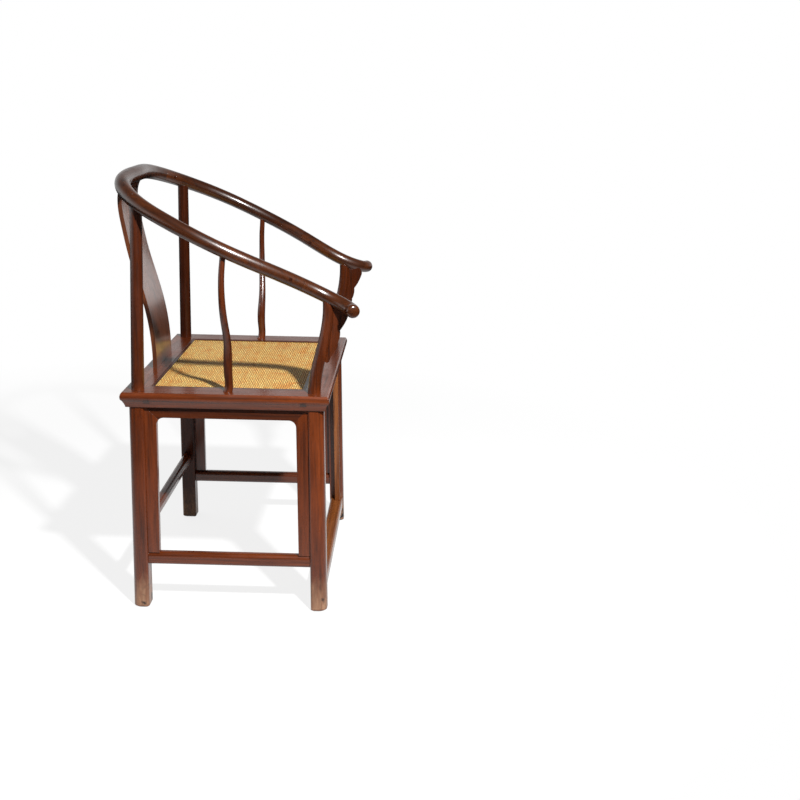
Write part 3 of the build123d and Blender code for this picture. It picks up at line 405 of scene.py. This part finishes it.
# ---------------------------------------------------------------- finishes
@dataclass(frozen=True)
class OiledHardwood:
    """Dense reddish-brown wood, oiled and hand-rubbed, for every stick of the chair."""

    heart: Colour = shade(80, 32, 9)
    streak: Colour = shade(26, 10, 4)
    glow: Colour = shade(112, 50, 17)
    bare: Colour = shade(172, 134, 104)
    streak_amount: float = 0.62
    pore_amount: float = 0.45
    smoothest: float = 0.22
    dullest: float = 0.36
    sheen: float = 0.4
    polish: float = 0.25
    polish_roughness: float = 0.16
    edge_ease: float = 0.0012
    edge_samples: int = 4
    foot_rub: float = 0.9
    # painted shade: the wood above the seat is darkened by this share
    painted_shade_above_seat: float = 0.56
    seat_height: float = 0.5
    painted_shade_fade: float = 0.02
    end_grain: float = 0.65
    figure_shift: float = 9.0
    streak_roughness: float = 0.10
    worn_roughness: float = 0.4
    pore_strength: float = 0.2
    pore_depth: float = 0.0003
    refraction: float = 1.5

    def painted_shade_tint(self) -> Colour:
        """Painted shade: how much darker the wood is above the seat, standing in for the floor's bounce light
        that brightens the sticks below.
        """
        return (self.painted_shade_above_seat, self.painted_shade_above_seat, self.painted_shade_above_seat, 1.0)

    def material(self, effects: Effects, name: str, grain: Grain, seed: int) -> bpy.types.Material:
        """Makes the material of one stick.

        Args:
            effects: the shared shader groups.
            name: the stick's name.
            grain: which way its fibres run.
            seed: moves the figure, so that no two sticks show the same one.

        Returns:
            The finished material.
        """
        feet = name.startswith(("rear_leg", "front_leg"))
        tenons = name in ("seat_frame_front", "seat_frame_back")
        material = bpy.data.materials.new("Hardwood " + name)
        material.use_nodes = True
        tree = material.node_tree
        tree.nodes.clear()
        place = add(tree, "ShaderNodeTexCoord").outputs["Object"]
        turn = Vector(grain.value).normalized().rotation_difference(Vector((0.0, 0.0, 1.0))).to_euler()
        lie = add(tree, "ShaderNodeMapping")
        lie.inputs["Rotation"].default_value = turn
        chance = random.Random(seed)
        lie.inputs["Location"].default_value = [
            chance.uniform(-self.figure_shift, self.figure_shift) for _ in range(3)
        ]
        join(tree, place, lie.inputs["Vector"])
        figure = add(tree, "ShaderNodeGroup", node_tree=effects.figure)
        join(tree, lie.outputs[0], figure.inputs["Place"])
        for label, value in (("Heart", self.heart), ("Streak", self.streak), ("Glow", self.glow),
                             ("Streak Amount", self.streak_amount), ("Pore Amount", self.pore_amount)):
            figure.inputs[label].default_value = value
        handling = add(tree, "ShaderNodeGroup", node_tree=effects.handling)
        join(tree, lie.outputs[0], handling.inputs["Place"])
        axes = add(tree, "ShaderNodeSeparateXYZ")
        join(tree, place, axes.inputs[0])
        # painted shade: darker above the seat, standing in for the floor's bounce light and reflections that
        # brighten the sticks below
        upper_shade = ramp(tree, axes.outputs["Z"], self.seat_height, self.seat_height + self.painted_shade_fade)
        colour = blend_colours(tree, upper_shade, figure.outputs["Colour"], self.painted_shade_tint(), "MULTIPLY")
        streaky = calculate(tree, "MULTIPLY", figure.outputs["Gloss"], self.streak_roughness)
        cloudy = calculate(tree, "MULTIPLY", handling.outputs["Mask"], self.dullest - self.smoothest)
        rough = calculate(tree, "ADD", calculate(tree, "ADD", streaky, cloudy), self.smoothest)
        if tenons:
            tenon = add(tree, "ShaderNodeGroup", node_tree=effects.tenon_end)
            join(tree, place, tenon.inputs["Place"])
            ends = calculate(tree, "MULTIPLY", tenon.outputs["Mask"], self.end_grain)
            colour = blend_colours(tree, ends, colour, self.streak)
        if feet:
            wear = add(tree, "ShaderNodeGroup", node_tree=effects.foot_wear)
            join(tree, place, wear.inputs["Place"])
            rubbed = calculate(tree, "MULTIPLY", wear.outputs["Mask"], self.foot_rub)
            colour = blend_colours(tree, rubbed, colour, self.bare)
            colour = blend_colours(tree, wear.outputs["Bruise"], colour, self.streak)
            rough = calculate(tree, "ADD", rough, calculate(tree, "MULTIPLY", rubbed, self.worn_roughness))
        eased = add(tree, "ShaderNodeBevel", samples=self.edge_samples)
        eased.inputs["Radius"].default_value = self.edge_ease
        bump = add(tree, "ShaderNodeBump")
        bump.inputs["Strength"].default_value = self.pore_strength
        bump.inputs["Distance"].default_value = self.pore_depth
        join(tree, figure.outputs["Relief"], bump.inputs["Height"])
        join(tree, eased.outputs[0], bump.inputs["Normal"])
        skin = add(tree, "ShaderNodeBsdfPrincipled")
        skin.inputs["IOR"].default_value = self.refraction
        skin.inputs["Specular IOR Level"].default_value = self.sheen
        skin.inputs["Coat Weight"].default_value = self.polish
        skin.inputs["Coat Roughness"].default_value = self.polish_roughness
        join(tree, colour, skin.inputs["Base Color"])
        join(tree, rough, skin.inputs["Roughness"])
        join(tree, bump.outputs[0], skin.inputs["Normal"])
        join(tree, skin.outputs[0], add(tree, "ShaderNodeOutputMaterial").inputs["Surface"])
        return material


@dataclass(frozen=True)
class PlaitedFibre:
    """Split rush or palm cord, drawn from the weave's own attributes: a strand's height, which paints shade
    into the grooves, and its tone.
    """

    crown: Colour = shade(248, 160, 60)
    pale: Colour = shade(255, 238, 152)
    # dark colour for the painted shade in the grooves, also used for the fibre lines
    groove: Colour = shade(94, 44, 10)
    stain: Colour = shade(224, 126, 34)
    roughness: float = 0.55
    sheen: float = 0.2
    fibres: Layer = Layer((260.0, 260.0, 260.0), 2.0, 0.35, 0.7)
    stains: Layer = Layer((16.0, 24.0, 16.0), 4.0, 0.48, 0.74, warp=0.5)
    mottle_repeats: Triple = (22.0, 22.0, 22.0)
    tone_share: float = 0.7
    mottle_share: float = 0.4
    stain_share: float = 0.55
    fibre_share: float = 0.4
    groove_height: float = 0.1
    crown_height: float = 0.7
    fibre_strength: float = 0.3
    fibre_depth: float = 0.0004

    def material(self, name: str) -> bpy.types.Material:
        """Makes the fibre material.

        Args:
            name: what it is called.

        Returns:
            The finished material.
        """
        material = bpy.data.materials.new(name)
        material.use_nodes = True
        tree = material.node_tree
        tree.nodes.clear()
        place = add(tree, "ShaderNodeTexCoord").outputs["Object"]
        height = add(tree, "ShaderNodeAttribute", attribute_name="strand_height").outputs["Fac"]
        tone = add(tree, "ShaderNodeAttribute", attribute_name="strand_tone").outputs["Fac"]
        mottle = stretched_noise(tree, place, self.mottle_repeats, 3.0)
        mottle = calculate(tree, "MULTIPLY", mottle, self.mottle_share)
        tone = calculate(tree, "ADD", calculate(tree, "MULTIPLY", tone, self.tone_share), mottle)
        fibre = self.fibres.drawn(tree, place)
        top = blend_colours(tree, tone, self.crown, self.pale)
        stained = calculate(tree, "MULTIPLY", self.stains.drawn(tree, place), self.stain_share)
        top = blend_colours(tree, stained, top, self.stain)
        top = blend_colours(tree, calculate(tree, "MULTIPLY", fibre, self.fibre_share), top, self.groove)
        # painted shade: where a strand dips low its colour goes to the dark groove colour
        standing = ramp(tree, height, self.groove_height, self.crown_height)
        colour = blend_colours(tree, standing, self.groove, top)
        bump = add(tree, "ShaderNodeBump")
        bump.inputs["Strength"].default_value = self.fibre_strength
        bump.inputs["Distance"].default_value = self.fibre_depth
        join(tree, fibre, bump.inputs["Height"])
        skin = add(tree, "ShaderNodeBsdfPrincipled")
        skin.inputs["Roughness"].default_value = self.roughness
        skin.inputs["Specular IOR Level"].default_value = self.sheen
        join(tree, colour, skin.inputs["Base Color"])
        join(tree, bump.outputs[0], skin.inputs["Normal"])
        join(tree, skin.outputs[0], add(tree, "ShaderNodeOutputMaterial").inputs["Surface"])
        return material


@dataclass(frozen=True)
class StudioWhite:
    """Pale floor that reads white to the eye and keeps a faint shadow of what stands on it."""

    shown_near: float = 0.83
    fade_from: float = 0.8
    fade_to: float = 1.7
    shadow_middle: Triple = (0.3, 0.35, 0.0)
    mirrored_from: float = 0.9
    mirrored_to: float = 1.7
    paint: float = 1.0
    bounce: float = 0.5

    def material(self) -> bpy.types.Material:
        """Makes the floor's material: light of its own mixed with what falls on it, and alone far off.

        Returns:
            The finished material.
        """
        material = bpy.data.materials.new("Studio floor")
        material.use_nodes = True
        tree = material.node_tree
        tree.nodes.clear()
        path = add(tree, "ShaderNodeLightPath")
        seen = calculate(tree, "MAXIMUM", path.outputs["Is Camera Ray"], path.outputs["Is Transmission Ray"])
        reach = add(tree, "ShaderNodeVectorMath", operation="DISTANCE")
        join(tree, add(tree, "ShaderNodeTexCoord").outputs["Object"], reach.inputs[0])
        reach.inputs[1].default_value = self.shadow_middle
        far = ramp(tree, reach.outputs["Value"], self.fade_from, self.fade_to)
        share = calculate(tree, "MULTIPLY", far, 1.0 - self.shown_near)
        share = calculate(tree, "ADD", self.shown_near, share)
        mirrored = ramp(tree, reach.outputs["Value"], self.mirrored_to, self.mirrored_from)
        matte = add(tree, "ShaderNodeBsdfDiffuse")
        paint = calculate(tree, "MULTIPLY", seen, self.paint - self.bounce)
        paint = calculate(tree, "ADD", paint, self.bounce)
        join(tree, paint, matte.inputs["Color"])
        glow = add(tree, "ShaderNodeEmission")
        join(tree, calculate(tree, "MAXIMUM", seen, mirrored), glow.inputs["Color"])
        mix = add(tree, "ShaderNodeMixShader")
        shown = calculate(tree, "MULTIPLY", seen, share)
        join(tree, calculate(tree, "MAXIMUM", shown, path.outputs["Is Glossy Ray"]), mix.inputs[0])
        join(tree, matte.outputs[0], mix.inputs[1])
        join(tree, glow.outputs[0], mix.inputs[2])
        join(tree, mix.outputs[0], add(tree, "ShaderNodeOutputMaterial").inputs["Surface"])
        return material


# ---------------------------------------------------------------- making pieces
def only(piece: bpy.types.Object) -> None:
    """Deselects everything else and makes this piece the active one.

    Args:
        piece: the piece to select.
    """
    bpy.ops.object.select_all(action="DESELECT")
    piece.select_set(True)
    bpy.context.view_layer.objects.active = piece


def dress(piece: bpy.types.Object, material: bpy.types.Material) -> None:
    """Gives a piece one material all over."""
    piece.data.materials.clear()
    piece.data.materials.append(material)


def new_grid(name: str, middle: Triple, size: tuple[float, float],
             cells: tuple[int, int]) -> bpy.types.Object:
    """Adds a flat grid with its place in its mesh.

    Args:
        name: the piece's name.
        middle: its centre.
        size: its width along X and its length along Y.
        cells: how many faces along X and along Y.

    Returns:
        The grid, its object at the origin.
    """
    bpy.ops.object.select_all(action="DESELECT")
    columns, rows = cells
    bpy.ops.mesh.primitive_grid_add(x_subdivisions=columns, y_subdivisions=rows, size=1.0, location=middle)
    piece = bpy.context.object
    piece.name = name
    piece.scale = (size[0], size[1], 1.0)
    bpy.ops.object.transform_apply(location=True, rotation=True, scale=True)
    return piece


def finish_with(piece: bpy.types.Object, kind: str, **settings: object) -> None:
    """Adds a modifier and applies it.

    Args:
        piece: the piece.
        kind: Blender's name for the modifier.
        settings: attributes to set on it.
    """
    only(piece)
    modifier = piece.modifiers.new(kind.title(), kind)
    for label, value in settings.items():
        setattr(modifier, label, value)
    bpy.ops.object.modifier_apply(modifier=modifier.name)


def write_attribute(piece: bpy.types.Object, name: str, values: list[float]) -> None:
    """Stores one number per point on a piece's mesh."""
    layer = piece.data.attributes.new(name=name, type="FLOAT", domain="POINT")
    layer.data.foreach_set("value", values)


@dataclass
class WovenMat:
    """The seat's mat: split rush in a herringbone twill, each strand passing over two and under two."""

    strand: float = 0.0047
    relief: float = 0.0007
    thickness: float = 0.0014
    turn_every: int = 10
    on_top: float = 0.92
    tucked_under: float = 0.12
    strand_tone_share: float = 0.5
    speck_share: float = 0.45
    weft_is_paler: float = 0.15
    seed: int = 4
    fibre: PlaitedFibre = PlaitedFibre()

    def weft_is_over(self, column: int, row: int) -> bool:
        """Whether the strand that runs across is on top where this column and row cross.

        Args:
            column: number of the strand along Y.
            row: number of the strand along X.

        Returns:
            True where the crossing strand is on top.
        """
        place = column % (2 * self.turn_every)
        slope = place if place < self.turn_every else 2 * self.turn_every - place
        return (row - slope) % 4 < 2

    def height_at(self, column: int, row: int) -> float:
        """How high the weave stands at a grid point, from 0 in a groove to 1 on a crown.

        Args:
            column: grid point along X; odd ones lie on a strand's middle.
            row: grid point along Y; odd ones lie on a strand's middle.

        Returns:
            The height share.
        """
        on_warp, on_weft = column % 2 == 1, row % 2 == 1
        if on_warp and on_weft:
            return 1.0
        if not on_warp and not on_weft:
            return 0.0
        if on_weft:
            over = self.weft_is_over(column // 2 - 1, row // 2) and self.weft_is_over(column // 2, row // 2)
            return self.on_top if over else self.tucked_under
        under = self.weft_is_over(column // 2, row // 2 - 1) or self.weft_is_over(column // 2, row // 2)
        return self.tucked_under if under else self.on_top

    def build(self) -> bpy.types.Object:
        """Weaves the mat inside the frame's opening and hides the plain sheet that it stands for.

        Returns:
            The finished mat.
        """
        low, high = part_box("woven_mat")
        size = (high[0] - low[0], high[1] - low[1])
        strands = (round(size[0] / self.strand), round(size[1] / self.strand))
        middle = ((low[0] + high[0]) / 2, (low[1] + high[1]) / 2, high[2])
        mat = new_grid("woven_rush_mat", middle, size, (2 * strands[0], 2 * strands[1]))
        chance = random.Random(self.seed)
        warp_tone = [chance.random() for _ in range(strands[0] + 1)]
        weft_tone = [chance.random() for _ in range(strands[1] + 1)]
        specks = [[chance.random() for _ in range(strands[1] + 1)] for _ in range(strands[0] + 1)]
        heights, tones = [], []
        for vertex in mat.data.vertices:
            column = round((vertex.co.x - low[0]) / size[0] * 2 * strands[0])
            row = round((vertex.co.y - low[1]) / size[1] * 2 * strands[1])
            height = self.height_at(column, row)
            across = self.weft_is_over(column // 2, row // 2)
            tone = weft_tone[row // 2] if across else warp_tone[column // 2]
            vertex.co.z = high[2] - self.relief * (1.0 - height)
            heights.append(height)
            speck = specks[column // 2][row // 2]
            tone = tone * self.strand_tone_share + speck * self.speck_share
            tones.append(min(1.0, tone + (self.weft_is_paler if across else 0.0)))
        write_attribute(mat, "strand_height", heights)
        write_attribute(mat, "strand_tone", tones)
        finish_with(mat, "SOLIDIFY", thickness=self.thickness, offset=-1.0)
        only(mat)
        bpy.ops.object.shade_smooth()
        dress(mat, self.fibre.material("Woven rush"))
        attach(mat, "root")
        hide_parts("woven_mat")
        return mat


@dataclass
class CordWebbing:
    """Palm-cord webbing under the mat, its cross strands passing over and under."""

    pitch: float = 0.027
    width: float = 0.009
    thickness: float = 0.0014
    wave_share: float = 0.98
    edge_height: float = 0.25
    crown_rise: float = 0.7
    first_seed: int = 40
    seeds_apart: int = 50
    fibre: PlaitedFibre = PlaitedFibre(
        crown=shade(168, 128, 78), pale=shade(190, 150, 98), groove=shade(84, 56, 30),
        stain=shade(140, 96, 52), roughness=0.8, fibres=Layer((700.0, 700.0, 700.0), 2.0, 0.35, 0.7),
    )

    def strand(self, index: int, low: Vector, high: Vector, along: int) -> bpy.types.Object:
        """Makes one flat strand that waves over and under the strands it crosses.

        Args:
            index: its number from the middle of the seat.
            low: lowest corner of the webbing.
            high: highest corner of the webbing.
            along: 0 where it runs along X, 1 where it runs along Y.

        Returns:
            The strand.
        """
        middle = [(a + b) / 2 for a, b in zip(low, high)]
        middle[1 - along] += index * self.pitch
        length = high[along] - low[along]
        size = (length, self.width) if along == 0 else (self.width, length)
        long_cells = round(length / (self.pitch / 4))
        cells = (long_cells, 4) if along == 0 else (4, long_cells)
        strand = new_grid(f"webbing_strand_{along}_{index}", tuple(middle), size, cells)
        wave = (high[2] - low[2] - self.thickness) / 2
        turn = 1.0 if (index + along) % 2 == 0 else -1.0
        heights = []
        for vertex in strand.data.vertices:
            far = (vertex.co[along] - (low[along] + high[along]) / 2) / self.pitch
            aside = abs(vertex.co[1 - along] - middle[1 - along]) / (self.width / 2)
            crown = 1.0 - aside ** 2
            vertex.co.z += wave * turn * math.cos(math.pi * far) * self.wave_share + self.thickness * 0.5
            # painted shade: each strand's edges take more of the dark groove colour, as if its rounded sides
            # fell into shade
            heights.append(self.edge_height + self.crown_rise * crown)
        tone = random.Random(self.first_seed + self.seeds_apart * along + index).random()
        write_attribute(strand, "strand_height", heights)
        write_attribute(strand, "strand_tone", [tone] * len(heights))
        finish_with(strand, "SOLIDIFY", thickness=self.thickness, offset=-1.0)
        return strand

    def build(self) -> bpy.types.Object:
        """Lays the strands both ways and joins them into one piece.

        Returns:
            The finished webbing.
        """
        low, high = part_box("seat_webbing")
        strands = []
        for along, half in ((0, (high[1] - low[1]) / 2), (1, (high[0] - low[0]) / 2)):
            count = int((half - self.width / 2) / self.pitch)
            for index in range(-count, count + 1):
                strands.append(self.strand(index, low, high, along))
        bpy.ops.object.select_all(action="DESELECT")
        for strand in strands:
            strand.select_set(True)
        bpy.context.view_layer.objects.active = strands[0]
        bpy.ops.object.join()
        webbing = bpy.context.object
        webbing.name = "seat_cord_webbing"
        bpy.ops.object.shade_smooth()
        dress(webbing, self.fibre.material("Palm cord"))
        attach(webbing, "root")
        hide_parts("seat_webbing")
        return webbing


@dataclass
class Joinery:
    """Every hardwood stick of the chair, dressed with its grain along its length."""

    effects: Effects
    wood: OiledHardwood = OiledHardwood()
    rail: OiledHardwood = OiledHardwood(
        heart=shade(78, 36, 13), glow=shade(118, 60, 24), streak=shade(26, 13, 6), sheen=0.5, painted_shade_above_seat=0.42,
    )
    # Painted shade: the far rear leg and the mat edging are darkened as if in shade; the crest rail pins take
    # the same dark wood.
    dark: OiledHardwood = OiledHardwood(
        heart=shade(58, 22, 8), glow=shade(80, 34, 13), streak=shade(22, 9, 4), sheen=0.15, polish=0.12,
    )
    # Paler, greyer colours than the other sticks: painted sheen on top of the real polish.
    splat: OiledHardwood = OiledHardwood(
        heart=shade(96, 48, 22), glow=shade(120, 62, 28), sheen=0.95, polish=0.8, smoothest=0.26, dullest=0.4,
        painted_shade_above_seat=0.8,
    )
    # Painted light: paler colours for the footrest and front strips, standing in for the floor's bounce light
    # and reflections on them.
    painted_floor_light: OiledHardwood = OiledHardwood(
        heart=shade(106, 54, 22), glow=shade(140, 82, 38), streak=shade(48, 22, 10),
    )
    shaded: OiledHardwood = OiledHardwood(heart=shade(62, 26, 10), glow=shade(82, 36, 14))
    soft: tuple[str, ...] = ("woven_mat", "seat_webbing")

    def grain_of(self, name: str) -> Grain:
        """Which way the fibres run in a stick, from its name.

        Args:
            name: the stick's name.

        Returns:
            The grain's direction.
        """
        if name.startswith("crest_rail_"):
            for ending in ("left_shoulder", "right_shoulder", "left_hand", "right_hand"):
                if name.endswith(ending):
                    return Grain[ending.upper()]
            return Grain.ACROSS
        upright = ("leg", "post", "splat", "strip", "spandrel")
        if any(word in name for word in upright):
            return Grain.UPRIGHT
        low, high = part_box(name)
        return Grain.ACROSS if high[0] - low[0] > high[1] - low[1] else Grain.FORE_AND_AFT

    def finish_of(self, name: str) -> OiledHardwood:
        """Which finish a stick has: most polish on rail and splat, paler with painted light on the footrest
        and front strips, darker with painted shade on the aprons, the far rear leg and the mat edging.

        Args:
            name: the stick's name.

        Returns:
            The stick's finish.
        """
        if name == "rear_leg_left" or name.startswith(("mat_edging", "crest_rail_pins")):
            return self.dark
        if name.startswith("crest_rail"):
            return self.rail
        if name == "back_splat":
            return self.splat
        if name.startswith(("footrest", "front_strip")):
            return self.painted_floor_light
        return self.shaded if name.endswith(("apron", "apron_left", "apron_right")) else self.wood

    def build(self) -> list[bpy.types.Object]:
        """Dresses every stick in its finish, each with a figure of its own.

        Returns:
            The dressed sticks.
        """
        sticks = []
        for seed, (name, stick) in enumerate(sorted(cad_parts.items())):
            if name in self.soft:
                continue
            finish = self.finish_of(name)
            dress(stick, finish.material(self.effects, name, self.grain_of(name), seed))
            sticks.append(stick)
        return sticks


@dataclass
class Studio:
    """Camera, lamps and pale floor."""

    floor_size: float = 14.0
    lens: float = 49.89
    sensor_width: float = 36.0
    seat_middle_y: float = 0.012815
    place: Triple = (-2.5256, -0.4134, 1.1617)
    right: Triple = (0.0233, -0.9996, 0.0167)
    ahead: Triple = (0.9588, 0.0171, -0.2833)
    key_place: Triple = (-1.931, -1.145, 2.456)
    key_width: float = 0.14
    key_watts: float = 170.0
    key_aim: Triple = (0.0, 0.0, 0.5)
    ambient: float = 0.07
    ambient_behind: float = 1.0
    behind: Triple = (0.66, 0.74, 0.1)
    behind_spread: tuple[float, float] = (0.15, 0.9)
    mirrored_back: float = 0.9
    back_spread: tuple[float, float] = (0.1, 0.9)
    mirrored_side: float = 1.4
    side_spread: tuple[float, float] = (0.5, 0.9)
    mirrored_below: tuple[float, float] = (0.7, 0.1)

    def build(self) -> None:
        """Sets up the whole studio."""
        self.make_camera()
        self.make_floor()
        self.make_world()
        self.make_key_lamp()
        bpy.context.scene.view_settings.view_transform = "Standard"

    def make_camera(self) -> None:
        """Places the camera and makes it the scene's own."""
        camera = bpy.data.objects.new("Camera", bpy.data.cameras.new("Camera"))
        bpy.context.collection.objects.link(camera)
        camera.data.lens = self.lens
        camera.data.sensor_width = self.sensor_width
        ahead = Vector(self.ahead).normalized()
        right = (Vector(self.right) - ahead * Vector(self.right).dot(ahead)).normalized()
        up = right.cross(ahead)
        turn = Matrix((right, up, -ahead)).transposed().to_4x4()
        spot = Vector(self.place) + Vector((0.0, self.seat_middle_y, 0.0))
        camera.matrix_world = Matrix.Translation(spot) @ turn
        bpy.context.scene.camera = camera

    def make_floor(self) -> None:
        """Lays the pale floor."""
        floor = new_grid("studio_floor", (0.0, 0.0, 0.0), (self.floor_size, self.floor_size), (2, 2))
        dress(floor, StudioWhite().material())

    def make_world(self) -> None:
        """Surrounds the chair with white; the wood mirrors a backdrop, a bright side and a dark front."""
        world = bpy.data.worlds.new("Studio")
        world.use_nodes = True
        tree = world.node_tree
        tree.nodes.clear()
        path = add(tree, "ShaderNodeLightPath")
        seen = calculate(tree, "MAXIMUM", path.outputs["Is Camera Ray"], path.outputs["Is Transmission Ray"])
        axes = add(tree, "ShaderNodeSeparateXYZ")
        spot = add(tree, "ShaderNodeTexCoord").outputs["Generated"]
        join(tree, spot, axes.inputs[0])
        back = ramp(tree, axes.outputs["X"], *self.back_spread)
        back = calculate(tree, "MULTIPLY", back, self.mirrored_back)
        side = ramp(tree, axes.outputs["Y"], *self.side_spread)
        side = calculate(tree, "MULTIPLY", side, self.mirrored_side)
        low = ramp(tree, axes.outputs["Z"], *self.mirrored_below)
        mirrored = calculate(tree, "MULTIPLY", calculate(tree, "MAXIMUM", back, side), low)
        mirrored = calculate(tree, "MULTIPLY", mirrored, path.outputs["Is Glossy Ray"])
        lean = add(tree, "ShaderNodeVectorMath", operation="DOT_PRODUCT")
        join(tree, spot, lean.inputs[0])
        lean.inputs[1].default_value = self.behind
        rear = ramp(tree, lean.outputs["Value"], *self.behind_spread)
        rear = calculate(tree, "MULTIPLY", rear, path.outputs["Is Diffuse Ray"])
        soft = calculate(tree, "MULTIPLY", rear, self.ambient_behind - self.ambient)
        soft = calculate(tree, "ADD", soft, self.ambient)
        strength = calculate(tree, "MAXIMUM", calculate(tree, "MAXIMUM", seen, mirrored), soft)
        sky = add(tree, "ShaderNodeBackground")
        sky.inputs["Color"].default_value = (1.0, 1.0, 1.0, 1.0)
        join(tree, strength, sky.inputs["Strength"])
        join(tree, sky.outputs[0], add(tree, "ShaderNodeOutputWorld").inputs["Surface"])
        bpy.context.scene.world = world

    def make_key_lamp(self) -> None:
        """Hangs the small square lamp that faces the seat and casts every shadow."""
        lamp = bpy.data.objects.new("Key", bpy.data.lights.new("Key", "AREA"))
        bpy.context.collection.objects.link(lamp)
        lamp.data.size = self.key_width
        lamp.data.energy = self.key_watts
        lamp.location = self.key_place
        towards_seat = Vector(self.key_aim) - Vector(self.key_place)
        lamp.rotation_euler = towards_seat.to_track_quat("-Z", "Y").to_euler()


def main() -> None:
    """Builds the studio and dresses the chair, piece by piece."""
    logging.basicConfig(level=logging.INFO, format="%(name)s: %(message)s")
    effects = Effects()
    Studio().build()
    for stick in Joinery(effects).build():
        log.info("dressed %s", stick.name)
    webbing = CordWebbing().build()
    log.info("laid %s, %d faces", webbing.name, len(webbing.data.polygons))
    mat = WovenMat().build()
    log.info("wove %s, %d faces", mat.name, len(mat.data.polygons))


if __name__ == "__main__":
    main()
